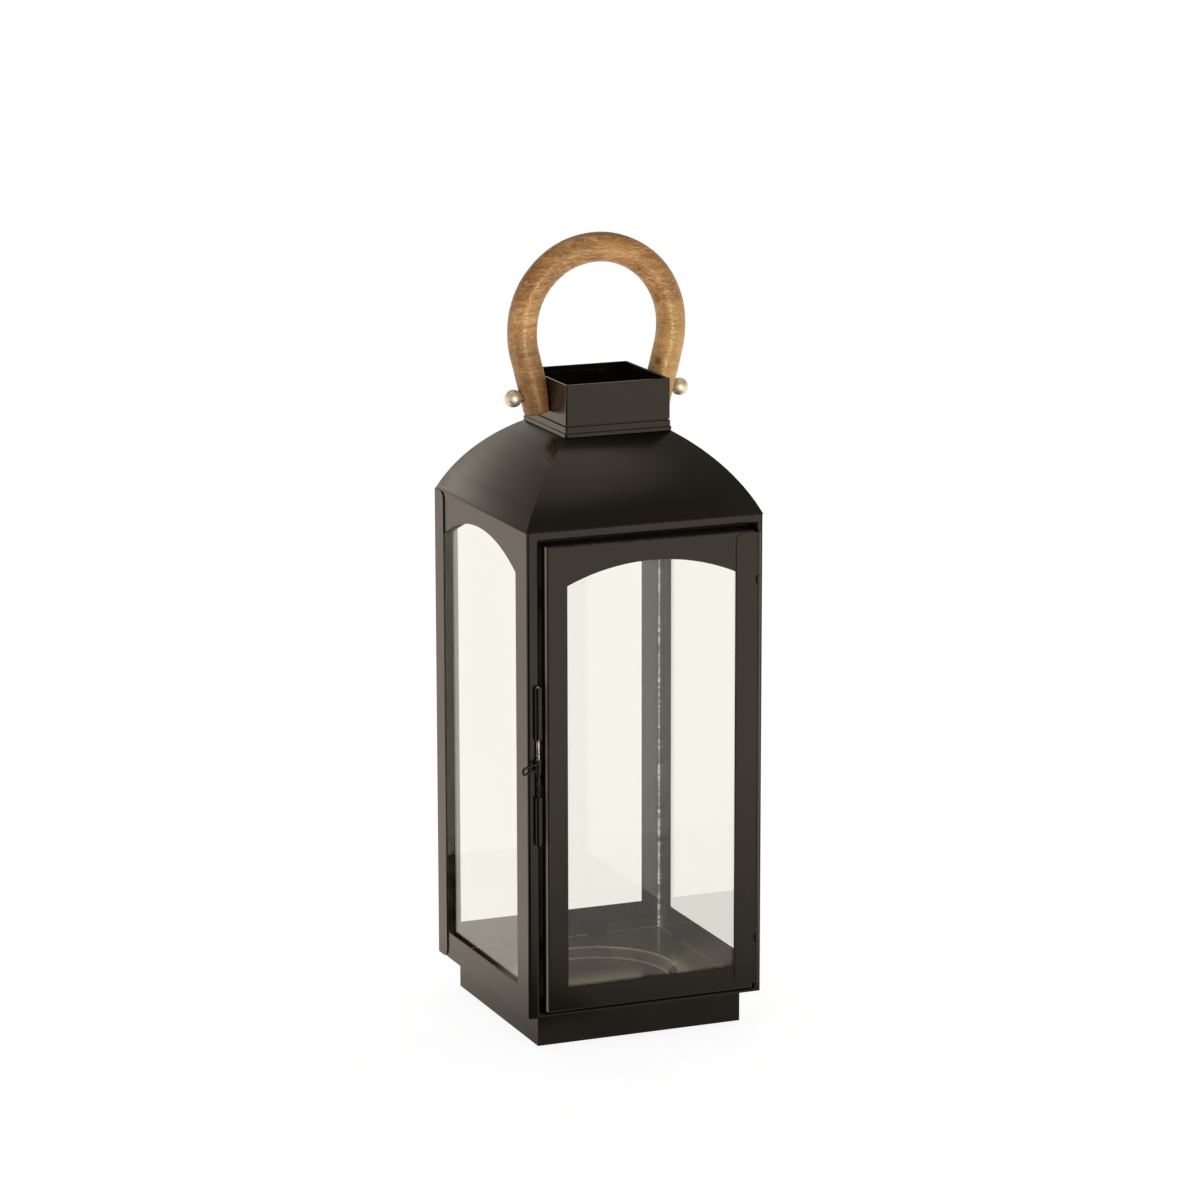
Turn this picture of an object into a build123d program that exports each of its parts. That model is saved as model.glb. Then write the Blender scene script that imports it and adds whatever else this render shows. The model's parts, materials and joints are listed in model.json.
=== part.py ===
from build123d import *
from math import cos, radians, sin
import os

# Candle lantern. Millimetres, +Z up, the door on the -Y side, +X to the right seen from the front.
# The origin is the centre of the underside of the base plate.

# Sheet metal box
SHEET = 0.8
SIDE = 79.6            # half width over the side walls
FACE = 80.4            # half depth over the front frame and back wall
PLINTH = 69.7          # half width of the plinth
PLINTH_FLANGE = 10.0
BODY_Z = 22.0          # underside of the body, top of the plinth
EAVE_Z = 333.5
ROOF_TOP_Z = 382.7
CHIMNEY_TOP_Z = 415.9
EAVE = 80.0            # half width of the roof at the eave
NECK = 35.4            # half width of the chimney
ROOF_RISE = 5.1        # how far a roof panel bulges beyond its chord
FIT = 0.1              # gap between two sheets that lie together
CLEAR = 0.5            # gap where a flange or tab stops short of its neighbour
CUT = 2.0              # how far a cutting solid reaches through a sheet
LAP_CORNER_R = 6.0
LEDGE_INSET = 1.2      # the roof's ledge, inside its eave
ROOF_SKIRT_Z = 329.0   # lower edge of the roof's skirt, inside the walls
COLLAR_TOP_Z = 389.2
COLLAR_OUT, BEAD_OUT = 0.2, 0.9              # how far they stand out beyond the chimney
BEAD_HEIGHT, BEAD_R = 2.6, 0.5
SEAM_GAP = 0.8         # groove between the collar and the chimney's shoulder
HEM = 4.0              # depth of the chimney's folded rim
FOLD_R = 1.2           # rounding of the chimney's and collar's upright corners

# Window openings: sill height, height where the arch springs, rise of the arch
WALL_SILL, WALL_SPRING, WALL_RISE = 39.5, 305.6, 16.4
DOOR_SILL, DOOR_SPRING, DOOR_RISE = 41.3, 299.1, 12.1
SIDE_WINDOW_MIDDLE, SIDE_WINDOW_HALF = 2.9, 63.2
BACK_WINDOW_HALF = 63.9
DOOR_WINDOW_MIDDLE, DOOR_WINDOW_HALF = 2.7, 56.75
LAP = 15.1             # width of the back wall's flanges on the side walls

# Floor tray and candle recess
RIM_Z = 28.3
RECESS_R, RECESS_FLOOR_R, RECESS_Z = 51.5, 46.3, 16.5
RECESS_LAND = 4.0      # flat metal kept round the recess
RECESS_BEND_R = 1.2
RECESS_SHIFT = 0.38    # keeps the sloping wall of the recess as thick as the floor
TRAY_CORNER_R = 1.0

# Glass
PANE = 2.0
PANE_OUT = 77.1        # outer face of the side and back panes
PANE_TOP_Z = 326.9
CLIP_HALF = 6.8        # half width of a glass clip
CLIP_SPREAD = {"side": 45.0, "back": 29.0}   # distance of each clip from the middle of its pane
CLIP_HEIGHT = 11.5
CLIP_FOOT = 6.0        # how far a lower clip reaches in over the floor
CLIP_FINGER = 7.0      # how far an upper clip hangs down, and a door clip reaches across
PANE_GAP = 0.2         # gap between a pane and its clips

# Front frame and door
FRAME_LEFT, FRAME_RIGHT = -71.8, 74.6
FRAME_LOW, FRAME_HIGH = 24.7, 327.8
FRAME_BACK = -70.4
FRAME_LIP_R = 2.4      # rounding from the face into the door opening
CORNER_R = 1.5         # rounding of the body's two front corners
STOP_WIDE, STOP_LOW = 6.0, 4.5               # door stop at the sides, and at the top and bottom
SEAM_WIDTH, SEAM_DEPTH, SEAM_LENGTH = 0.3, 0.5, 9.0
SEAM_X, SEAM_Z = 69.65, 330.65               # middle of the mitre at the frame's upper right corner
DOOR_LEFT, DOOR_RIGHT = -67.8, 72.6
DOOR_LOW, DOOR_HIGH = 25.4, 324.9
DOOR_FACE, DOOR_BACK = -83.4, -74.4
DOOR_EDGE_R = 1.4
STRIP = 0.6            # thickness of the hinge strip on the door's face
STRIP_LEFT = 59.9
STRIP_LOW, STRIP_HIGH = 28.8, 323.3
STRIP_CORNER_R = 5.0
STRIP_EDGE_X = 73.1    # where the strip's flat stops beside the frame's knuckles
DOOR_GLASS_INSET = 4.0
DOOR_CLIP_HEIGHTS = (62.0, 175.0, 288.0)

# Door hinges
HINGE_X, HINGE_Y = 75.0, -82.4
HINGE_HEIGHTS = (59.0, 293.0)
HINGE_R, HINGE_BORE_R, HINGE_PIN_R = 1.8, 0.87, 0.8
KNUCKLE = 4.4          # height of one knuckle
KNUCKLE_GAP = 0.3
LEAF = 0.7             # thickness of the hinge leaves and of the latch bracket
PIN_END_R = 0.3

# Door latch
LATCH_X, LATCH_Y = -73.7, -82.4
LATCH_LOW, LATCH_HIGH = 135.5, 236.3
LATCH_WINDOW = (166.0, 203.0)
BARREL_R, SPINDLE_R, BARREL_BORE_R = 1.9, 1.0, 1.06
LOOP_Z = 186.0
LOOP_REACH = 17.5
LOOP_ANGLE = 214.5     # direction of the loop from +X, degrees
LOOP_WIRE_R = 0.8
LOOP_HALF = 1.9        # half the distance between the loop's two wires
LOOP_START = 1.2       # where the wires leave the boss
BOSS_R, BOSS_HALF = 1.7, 4.2
BRACKET_FRONT = -79.1  # front edge of the bracket inside the door opening
SPINDLE_END, SPINDLE_ROUNDING = 1.0, 0.4

# Handle
PIVOT_Z = 403.4
HANDLE_R = 50.6        # centreline radius of the round bow
HANDLE_Z = 445.7       # centre of the bow's upper half
HANDLE_STRETCH = 2.7   # straight run between the bow's upper half and its lower ends
HANDLE_WOOD_R = 9.5
LEG_LEAN = 14.3        # degrees from the vertical, where the bow runs into its straight legs
LEG_LENGTH = 37.8
LEG_FLAT = 36.2        # flat inner face of each leg
LEG_FLAT_TOP_Z = 427.9
LEG_END_R = 1.8
BOLT_R, BOLT_HOLE_R = 2.5, 2.58
BALL_R, BALL_X, BALL_FLAT = 5.6, 56.8, 52.4
SEAT_R, SEAT_X = 6.4, 52.1   # flat seat for the ball on each leg
BOLT_END_X = 58.8
BOLT_HEAD_R, BOLT_HEAD, BOLT_HEAD_ROUNDING = 4.5, 3.2, 1.2
WASHER_R, WASHER = 5.5, 1.0
SPACER_R, SPACER = 6.0, 0.5


def block(x0, x1, y0, y1, z0, z1):
    """A box between two corners."""
    return Pos((x0 + x1) / 2, (y0 + y1) / 2, (z0 + z1) / 2) * Box(x1 - x0, y1 - y0, z1 - z0)


def rod(x, y, z0, z1, r):
    """A vertical round bar."""
    return Pos(x, y, (z0 + z1) / 2) * Cylinder(r, z1 - z0)


def cross_rod(x0, x1, z, r):
    """A round bar along X in the plane of the handle."""
    return Pos((x0 + x1) / 2, 0, z) * Rot(0, 90, 0) * Cylinder(r, abs(x1 - x0))


def square_tube(outer, inner, z0, z1):
    """A square tube round the Z axis, from its half widths."""
    return block(-outer, outer, -outer, outer, z0, z1) - block(-inner, inner, -inner, inner, z0, z1)


def arched_hole(plane, middle, half, sill, spring, rise, reach):
    """The solid to cut for a window with a segmental arch, drawn on a vertical plane."""
    sides = Polyline(
        (middle - half, spring), (middle - half, sill), (middle + half, sill), (middle + half, spring)
    )
    arch = ThreePointArc(
        (middle + half, spring), (middle, spring + rise), (middle - half, spring)
    )
    outline = make_face(sides.edges() + arch.edges())
    return extrude(plane * outline, reach, both=True)


def plinth():
    walls = square_tube(PLINTH, PLINTH - SHEET, 0, BODY_Z)
    top_flange = square_tube(PLINTH - SHEET, PLINTH - PLINTH_FLANGE, BODY_Z - SHEET, BODY_Z)
    return walls + top_flange


def base_plate():
    half = PLINTH - SHEET
    return block(-half, half, -half, half, 0, SHEET)


def floor_tray():
    """Floor sheet with a turned-up rim on three sides and a round recess for the candle."""
    half_x = SIDE - SHEET - FIT
    half_y = FACE - SHEET - FIT
    top = BODY_Z + SHEET
    dish_r = RECESS_R + RECESS_LAND
    rim_front = FRAME_BACK + 0.2
    plate = block(-half_x, half_x, -half_y, half_y, BODY_Z, top)
    plate = fillet(plate.edges().filter_by(Axis.Z), TRAY_CORNER_R) - rod(0, 0, BODY_Z, top, dish_r)
    rim = block(-half_x, half_x, rim_front, half_y, top, RIM_Z)
    rim -= block(-half_x + SHEET, half_x - SHEET, rim_front, half_y - SHEET, top, RIM_Z)
    outline = Polyline(
        (0, RECESS_Z),
        (RECESS_FLOOR_R, RECESS_Z),
        (RECESS_R, top),
        (dish_r, top),
        (dish_r, BODY_Z),
        (RECESS_R + RECESS_SHIFT, BODY_Z),
        (RECESS_FLOOR_R + RECESS_SHIFT, RECESS_Z - SHEET),
        (0, RECESS_Z - SHEET),
        (0, RECESS_Z),
    )
    section = make_face(outline.edges())
    bends = section.vertices().filter_by(
        lambda v: RECESS_FLOOR_R - 1 < v.X < RECESS_R + 1
    )
    section = fillet(bends, RECESS_BEND_R)
    return plate + rim + revolve(Plane.XZ * section, Axis.Z)


def flared_opening(grow):
    """The space in front of the face sheet and through its opening, out to a depth of grow in the metal."""
    front = block(-FACE, FACE, -2 * FACE, -FACE + grow, 0, EAVE_Z + FACE)
    passage = block(
        FRAME_LEFT - grow, FRAME_RIGHT + grow, -FACE, FRAME_BACK, FRAME_LOW - grow, FRAME_HIGH + grow
    )
    space = front + passage
    lips = space.edges().filter_by(lambda e: abs(e.center().Y + FACE - grow) < 0.01).filter_by(
        lambda e: FRAME_LEFT - 2 < e.center().X < FRAME_RIGHT + 2 and BODY_Z < e.center().Z < FRAME_HIGH + 2
    )
    return fillet(lips, FRAME_LIP_R - grow)


def front_frame():
    """Face sheet with a return round the door opening, a door stop and flanges inside the walls."""
    inside = -FACE + SHEET
    frame = flared_opening(SHEET) - flared_opening(0)
    frame &= block(-SIDE, SIDE, -FACE, FRAME_BACK, BODY_Z, EAVE_Z)
    depth = -FACE + CORNER_R
    outer = block(-SIDE, SIDE, -FACE, FRAME_BACK, BODY_Z, EAVE_Z)
    outer = fillet(outer.edges().filter_by(Axis.Z).sort_by(Axis.Y)[:2], CORNER_R)
    inner = block(-SIDE + SHEET, SIDE - SHEET, inside, FRAME_BACK, BODY_Z, EAVE_Z)
    inner = fillet(inner.edges().filter_by(Axis.Z).sort_by(Axis.Y)[:2], CORNER_R - SHEET)
    folds = (outer - inner) & block(-SIDE, SIDE, -FACE, depth, BODY_Z, EAVE_Z)
    for side in (-1, 1):
        strip = block(*sorted((side * SIDE, side * (SIDE - CORNER_R))), -FACE, depth, BODY_Z, EAVE_Z)
        frame = (frame - strip) + (folds & strip)
    stop = block(FRAME_LEFT, FRAME_RIGHT, FRAME_BACK - SHEET, FRAME_BACK, FRAME_LOW, FRAME_HIGH)
    stop -= block(
        FRAME_LEFT + STOP_WIDE, FRAME_RIGHT - STOP_WIDE,
        FRAME_BACK - SHEET, FRAME_BACK,
        FRAME_LOW + STOP_LOW, FRAME_HIGH - STOP_LOW,
    )
    frame += stop
    flange = SIDE - SHEET - FIT
    for side in (-1, 1):
        edges = sorted((side * flange, side * (flange - SHEET)))
        frame += block(*edges, inside, FRAME_BACK, RIM_Z, ROOF_SKIRT_Z - CLEAR)
    seam = Pos(SEAM_X, -FACE, SEAM_Z) * Rot(0, 45, 0) * Box(SEAM_WIDTH, SEAM_DEPTH, SEAM_LENGTH)
    return frame - seam


def back_wall():
    """Back panel with an arched window; its flanges lap round onto the side walls."""
    outer = SIDE + SHEET
    wall = block(-outer, outer, FACE - SHEET, FACE, BODY_Z, EAVE_Z)
    wall -= arched_hole(
        Plane.XZ.offset(-FACE), 0, BACK_WINDOW_HALF, WALL_SILL + 1, WALL_SPRING, WALL_RISE, CUT
    )
    for side in (-1, 1):
        edges = sorted((side * SIDE, side * outer))
        flange = block(*edges, FACE - LAP, FACE, BODY_Z, EAVE_Z)
        free_corners = flange.edges().filter_by(Axis.X).sort_by(Axis.Y)[:2]
        wall += fillet(free_corners, LAP_CORNER_R)
    return wall


def side_wall(side):
    """Side panel with an arched window; side is -1 for the left and 1 for the right."""
    edges = sorted((side * SIDE, side * (SIDE - SHEET)))
    wall = block(*edges, -FACE + CORNER_R + FIT, FACE - SHEET, BODY_Z, EAVE_Z)
    return wall - arched_hole(
        Plane.YZ.offset(side * SIDE),
        SIDE_WINDOW_MIDDLE, SIDE_WINDOW_HALF, WALL_SILL, WALL_SPRING, WALL_RISE, CUT,
    )


def vault(inset):
    """The solid under the four curved roof panels, moved in by inset."""
    chord = ((EAVE - NECK) ** 2 + (ROOF_TOP_Z - EAVE_Z) ** 2) ** 0.5
    radius = (chord ** 2 / 4 + ROOF_RISE ** 2) / (2 * ROOF_RISE)
    out_x, out_z = (ROOF_TOP_Z - EAVE_Z) / chord, (EAVE - NECK) / chord
    drop = radius - ROOF_RISE
    centre_x = (EAVE + NECK) / 2 - drop * out_x
    centre_z = (EAVE_Z + ROOF_TOP_Z) / 2 - drop * out_z
    r = radius - inset

    def reach(z):
        return centre_x + (r ** 2 - (z - centre_z) ** 2) ** 0.5

    middle_z = (EAVE_Z + ROOF_TOP_Z) / 2
    right = ThreePointArc(
        (reach(EAVE_Z), EAVE_Z), (reach(middle_z), middle_z), (reach(ROOF_TOP_Z), ROOF_TOP_Z)
    )
    left = ThreePointArc(
        (-reach(EAVE_Z), EAVE_Z), (-reach(middle_z), middle_z), (-reach(ROOF_TOP_Z), ROOF_TOP_Z)
    )
    base = Line(left @ 0, right @ 0)
    top = Line(left @ 1, right @ 1)
    outline = make_face(right.edges() + left.edges() + base.edges() + top.edges())
    return extrude(Plane.XZ * outline, 2 * EAVE, both=True) & extrude(
        Plane.YZ * outline, 2 * EAVE, both=True
    )


def roof():
    """Four curved panels, with a skirt that drops inside the walls."""
    shell = vault(0) - vault(SHEET)
    ledge_half = EAVE - LEDGE_INSET
    skirt_half = SIDE - SHEET - FIT
    ledge = square_tube(ledge_half, skirt_half - SHEET, EAVE_Z, EAVE_Z + SHEET)
    skirt = square_tube(skirt_half, skirt_half - SHEET, ROOF_SKIRT_Z, EAVE_Z)
    return shell + ledge + skirt


def square_bar(half, z0, z1, corner_r):
    """A square bar round the Z axis with rounded upright corners."""
    bar = block(-half, half, -half, half, z0, z1)
    return fillet(bar.edges().filter_by(Axis.Z), corner_r)


def chimney_collar():
    """Square collar on the roof that the chimney plugs into, with a bead at its foot."""
    inner = NECK - SHEET
    collar = square_bar(NECK + COLLAR_OUT, ROOF_TOP_Z, COLLAR_TOP_Z, FOLD_R)
    bead = square_bar(NECK + BEAD_OUT, ROOF_TOP_Z, ROOF_TOP_Z + BEAD_HEIGHT, FOLD_R + BEAD_R)
    bead = fillet(bead.edges().group_by(Axis.Z)[-1], BEAD_R)
    return collar + bead - block(-inner, inner, -inner, inner, ROOF_TOP_Z, COLLAR_TOP_Z)


def chimney():
    """Open square chimney with a hemmed rim, a plug end and two holes for the handle bolts."""
    inner = NECK - SHEET
    plug_out = inner - FIT
    plug_in = plug_out - SHEET
    shoulder = COLLAR_TOP_Z + SEAM_GAP
    body = square_bar(NECK, shoulder, CHIMNEY_TOP_Z, FOLD_R)
    body -= block(-inner, inner, -inner, inner, shoulder + SHEET, CHIMNEY_TOP_Z)
    body -= block(-plug_in, plug_in, -plug_in, plug_in, shoulder, shoulder + SHEET)
    hem = square_tube(inner, inner - SHEET, CHIMNEY_TOP_Z - HEM, CHIMNEY_TOP_Z)
    plug = square_tube(plug_out, plug_in, ROOF_TOP_Z + 3 * FIT, shoulder + SHEET)
    bolt_holes = cross_rod(-NECK - CUT, NECK + CUT, PIVOT_Z, BOLT_R + FIT)
    return body + hem + plug - bolt_holes


def pane_set():
    """The three fixed panes, by node name."""
    low = BODY_Z + SHEET + FIT
    inner = PANE_OUT - PANE
    front = FRAME_BACK + 2 * PANE_GAP
    back = PANE_OUT + 2 * PANE_GAP
    return {
        "left_glass": block(-PANE_OUT, -inner, front, back, low, PANE_TOP_Z),
        "right_glass": block(inner, PANE_OUT, front, back, low, PANE_TOP_Z),
        "back_glass": block(PANE_GAP - inner, inner - PANE_GAP, inner, PANE_OUT, low, PANE_TOP_Z),
    }


def on_three_sides(clip):
    """Two copies of a clip, made for the right-hand wall, on each of the three glazed walls."""
    clips = []
    for turn, wall in ((0, "side"), (90, "back"), (180, "side")):
        for along in (-CLIP_SPREAD[wall], CLIP_SPREAD[wall]):
            clips.append(Rot(0, 0, turn) * Pos(0, along, 0) * clip)
    return Compound(children=clips)


def lower_glass_clips():
    """Bent tabs on the floor that hold the feet of the panes."""
    inner = PANE_OUT - PANE - PANE_GAP
    floor = BODY_Z + SHEET
    upright = block(inner - SHEET, inner, -CLIP_HALF, CLIP_HALF, floor, floor + CLIP_HEIGHT)
    foot = block(inner - CLIP_FOOT, inner, -CLIP_HALF, CLIP_HALF, floor, floor + SHEET)
    return on_three_sides(upright + foot)


def upper_glass_clips():
    """Stepped tabs on the roof skirt that hold the tops of the panes."""
    skirt_inner = SIDE - 2 * SHEET - FIT
    inner = PANE_OUT - PANE - PANE_GAP
    step = PANE_TOP_Z + PANE_GAP + FIT
    plate = block(skirt_inner - SHEET, skirt_inner, -CLIP_HALF, CLIP_HALF, step, EAVE_Z - CLEAR)
    bridge = block(inner - SHEET, skirt_inner, -CLIP_HALF, CLIP_HALF, step, step + SHEET)
    finger = block(inner - SHEET, inner, -CLIP_HALF, CLIP_HALF, step - CLIP_FINGER, step)
    return on_three_sides(plate + bridge + finger)


def hinge_bore():
    return rod(HINGE_X, HINGE_Y, 0, EAVE_Z, HINGE_BORE_R)


def frame_hinge_knuckles():
    """The middle knuckle of each hinge, with the leaf that fixes it inside the door opening."""
    knuckles = []
    for height in HINGE_HEIGHTS:
        low, high = height - KNUCKLE / 2, height + KNUCKLE / 2
        barrel = rod(HINGE_X, HINGE_Y, low, high, HINGE_R)
        leaf = block(FRAME_RIGHT - LEAF, FRAME_RIGHT, HINGE_Y, FRAME_BACK - SHEET - CLEAR, low, high)
        knuckles.append(barrel + leaf - hinge_bore())
    return Compound(children=knuckles)


def hinge_pins():
    """Short pins, fixed in the frame's knuckles and turning inside the strip's rolled edge."""
    pins = []
    for height in HINGE_HEIGHTS:
        end = 1.5 * KNUCKLE + 2 * KNUCKLE_GAP
        pin = rod(HINGE_X, HINGE_Y, height - end, height + end, HINGE_PIN_R)
        pins.append(fillet(pin.edges().filter_by(GeomType.CIRCLE), PIN_END_R))
    return Compound(children=pins)


def door_frame():
    """Door sheet with an arched window and a flange all round its edge."""
    inside = DOOR_FACE + SHEET
    pan = block(DOOR_LEFT, DOOR_RIGHT, DOOR_FACE, DOOR_BACK, DOOR_LOW, DOOR_HIGH)
    pan = fillet(pan.edges().group_by(Axis.Y)[0], DOOR_EDGE_R)
    pan -= block(
        DOOR_LEFT + SHEET, DOOR_RIGHT - SHEET, inside, DOOR_BACK, DOOR_LOW + SHEET, DOOR_HIGH - SHEET
    )
    return pan - arched_hole(
        Plane.XZ.offset(-DOOR_FACE),
        DOOR_WINDOW_MIDDLE, DOOR_WINDOW_HALF, DOOR_SILL, DOOR_SPRING, DOOR_RISE, CUT,
    )


def door_hinge_strip():
    """Strip along the door's hinge side, its edge rolled round the pins except at the frame's knuckles."""
    strip = block(STRIP_LEFT, STRIP_EDGE_X, DOOR_FACE - STRIP, DOOR_FACE, STRIP_LOW, STRIP_HIGH)
    strip = fillet(strip.edges().filter_by(Axis.Y).sort_by(Axis.X)[:2], STRIP_CORNER_R)
    half = KNUCKLE / 2 + KNUCKLE_GAP
    gaps = [height + direction * half for height in HINGE_HEIGHTS for direction in (-1, 1)]
    ends = [STRIP_LOW, *gaps, STRIP_HIGH]
    for low, high in zip(ends[::2], ends[1::2]):
        strip += block(STRIP_EDGE_X, HINGE_X, DOOR_FACE - STRIP, DOOR_FACE, low, high)
        strip += rod(HINGE_X, HINGE_Y, low, high, HINGE_R)
    return strip - hinge_bore()


def door_glass():
    inset = DOOR_GLASS_INSET
    front = DOOR_FACE + SHEET + PANE_GAP
    return block(
        DOOR_LEFT + inset, DOOR_RIGHT - inset, front, front + PANE, DOOR_LOW + inset, DOOR_HIGH - inset
    )


def door_glass_clips():
    """Three bent tabs on each upright flange of the door, behind the pane."""
    behind = DOOR_FACE + SHEET + PANE + 2 * PANE_GAP
    clips = []
    for edge, inward in ((DOOR_LEFT + SHEET, 1), (DOOR_RIGHT - SHEET, -1)):
        for height in DOOR_CLIP_HEIGHTS:
            low, high = height - CLIP_HALF, height + CLIP_HALF
            plate_x = sorted((edge, edge + inward * SHEET))
            finger_x = sorted((edge, edge + inward * CLIP_FINGER))
            plate = block(*plate_x, behind, DOOR_BACK - CLEAR, low, high)
            clips.append(plate + block(*finger_x, behind, behind + SHEET, low, high))
    return Compound(children=clips)


def latch_bracket():
    """Strip on the frame's left post, rolled into two barrels with a window between them."""
    spans = ((LATCH_LOW, LATCH_WINDOW[0]), (LATCH_WINDOW[1], LATCH_HIGH))
    inside, behind = FRAME_LEFT + LEAF, -FACE - FIT
    bracket = block(
        FRAME_LEFT, inside, BRACKET_FRONT, FRAME_BACK - SHEET - CLEAR, LATCH_LOW, LATCH_HIGH
    )
    for low, high in spans:
        bracket += rod(LATCH_X, LATCH_Y, low, high, BARREL_R)
        bracket += block(LATCH_X + LEAF, inside, LATCH_Y, behind, low, high)
        bracket += block(FRAME_LEFT, inside, behind, BRACKET_FRONT, low, high)
    return bracket - rod(LATCH_X, LATCH_Y, LATCH_LOW, LATCH_HIGH, BARREL_BORE_R)


def latch_spindle():
    """Plain steel rod that turns in the barrels."""
    spindle = rod(LATCH_X, LATCH_Y, LATCH_LOW - SPINDLE_END, LATCH_HIGH + SPINDLE_END, SPINDLE_R)
    return fillet(spindle.edges().filter_by(GeomType.CIRCLE), SPINDLE_ROUNDING)


def latch_loop():
    """Wire loop on a boss round the spindle, turned across the door's edge to hold it shut."""
    boss = rod(0, 0, -BOSS_HALF, BOSS_HALF, BOSS_R)
    straight = LOOP_REACH - LOOP_HALF - LOOP_WIRE_R
    near = Line((LOOP_START, 0, LOOP_HALF), (straight, 0, LOOP_HALF))
    bend = ThreePointArc(
        (straight, 0, LOOP_HALF), (straight + LOOP_HALF, 0, 0), (straight, 0, -LOOP_HALF)
    )
    far = Line((straight, 0, -LOOP_HALF), (LOOP_START, 0, -LOOP_HALF))
    section = Plane(origin=near @ 0, z_dir=(1, 0, 0)) * Circle(LOOP_WIRE_R)
    wire = sweep(section, path=Wire(near.edges() + bend.edges() + far.edges()))
    loop = boss + wire - rod(0, 0, -BOSS_HALF - CUT, BOSS_HALF + CUT, SPINDLE_R)
    return Pos(LATCH_X, LATCH_Y, LOOP_Z) * Rot(0, 0, LOOP_ANGLE) * loop


def handle_path():
    """Centreline of the bow: a round top that runs smoothly into two straight, leaning legs."""
    lean = radians(LEG_LEAN)
    low_z = HANDLE_Z - HANDLE_STRETCH

    def on_bow(angle):
        return HANDLE_R * cos(angle), low_z - HANDLE_R * sin(angle)

    bow_x, bow_z = on_bow(lean)
    bend_x, bend_z = on_bow(lean / 2)
    end_x, end_z = bow_x - LEG_LENGTH * sin(lean), bow_z - LEG_LENGTH * cos(lean)
    pieces = [
        Line((-end_x, 0, end_z), (-bow_x, 0, bow_z)),
        ThreePointArc((-bow_x, 0, bow_z), (-bend_x, 0, bend_z), (-HANDLE_R, 0, low_z)),
        Line((-HANDLE_R, 0, low_z), (-HANDLE_R, 0, HANDLE_Z)),
        ThreePointArc((-HANDLE_R, 0, HANDLE_Z), (0, 0, HANDLE_Z + HANDLE_R), (HANDLE_R, 0, HANDLE_Z)),
        Line((HANDLE_R, 0, HANDLE_Z), (HANDLE_R, 0, low_z)),
        ThreePointArc((HANDLE_R, 0, low_z), (bend_x, 0, bend_z), (bow_x, 0, bow_z)),
        Line((bow_x, 0, bow_z), (end_x, 0, end_z)),
    ]
    return Wire([piece.edge() for piece in pieces])


def wooden_handle():
    """Round wooden bow, its legs flat beside the chimney, bored for the bolts and seated for the balls."""
    path = handle_path()
    section = Plane(origin=path @ 0, z_dir=path % 0) * Circle(HANDLE_WOOD_R)
    bow = sweep(section, path=path)
    leg_ends = bow.edges().filter_by(GeomType.CIRCLE).sort_by(Axis.Z)[:2]
    bow = fillet(leg_ends, LEG_END_R)
    bow -= block(
        -LEG_FLAT, LEG_FLAT, -2 * HANDLE_WOOD_R, 2 * HANDLE_WOOD_R, ROOF_TOP_Z, LEG_FLAT_TOP_Z
    )
    beyond = HANDLE_R + HANDLE_WOOD_R
    for side in (-1, 1):
        bow -= cross_rod(side * SEAT_X, side * beyond, PIVOT_Z, SEAT_R)
    return bow - cross_rod(-beyond, beyond, PIVOT_Z, BOLT_HOLE_R)


def both_sides(right_hand):
    """A solid made for the right side and its mirror image."""
    return Compound(children=[right_hand, mirror(right_hand, Plane.YZ)])


def handle_bolts():
    """Bolts from inside the chimney, out through each leg of the handle."""
    seat = NECK - SHEET - WASHER
    head = cross_rod(seat - BOLT_HEAD, seat, PIVOT_Z, BOLT_HEAD_R)
    head = fillet(head.edges().group_by(Axis.X)[0], BOLT_HEAD_ROUNDING)
    return both_sides(head + cross_rod(seat, BOLT_END_X, PIVOT_Z, BOLT_R))


def ring(x0, x1, r, hole):
    return cross_rod(x0, x1, PIVOT_Z, r) - cross_rod(x0 - CUT, x1 + CUT, PIVOT_Z, hole)


def handle_bolt_washers():
    inner = NECK - SHEET
    return both_sides(ring(inner - WASHER, inner, WASHER_R, BOLT_R + FIT))


def handle_spacers():
    return both_sides(ring(NECK, NECK + SPACER, SPACER_R, BOLT_R + FIT))


def ball_knob(side):
    """Ball nut on the end of a handle bolt."""
    ball = Pos(BALL_X, 0, PIVOT_Z) * Sphere(BALL_R)
    ball -= block(BALL_FLAT - BALL_R, BALL_FLAT, -BALL_R, BALL_R, PIVOT_Z - BALL_R, PIVOT_Z + BALL_R)
    ball -= cross_rod(BALL_FLAT - CUT, BOLT_END_X + FIT, PIVOT_Z, BOLT_R + FIT / 2)
    return ball if side > 0 else mirror(ball, Plane.YZ)


nodes = {
    "plinth": plinth(),
    "base_plate": base_plate(),
    "floor_tray": floor_tray(),
    "front_frame": front_frame(),
    "back_wall": back_wall(),
    "left_wall": side_wall(-1),
    "right_wall": side_wall(1),
    "roof": roof(),
    "chimney_collar": chimney_collar(),
    "chimney": chimney(),
    "lower_glass_clips": lower_glass_clips(),
    "upper_glass_clips": upper_glass_clips(),
    "frame_hinge_knuckles": frame_hinge_knuckles(),
    "hinge_pins": hinge_pins(),
    "latch_bracket": latch_bracket(),
    "latch_spindle": latch_spindle(),
    "latch_loop": latch_loop(),
    "door_frame": door_frame(),
    "door_hinge_strip": door_hinge_strip(),
    "door_glass": door_glass(),
    "door_glass_clips": door_glass_clips(),
    "wooden_handle": wooden_handle(),
    "handle_bolts": handle_bolts(),
    "handle_bolt_washers": handle_bolt_washers(),
    "handle_spacers": handle_spacers(),
    "left_ball_knob": ball_knob(-1),
    "right_ball_knob": ball_knob(1),
    **pane_set(),
}

os.makedirs("parts", exist_ok=True)
for name, shape in nodes.items():
    export_step(shape, f"parts/{name}.step")
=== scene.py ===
import json
import math

import bmesh
import bpy
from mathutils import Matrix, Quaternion, Vector


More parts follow.
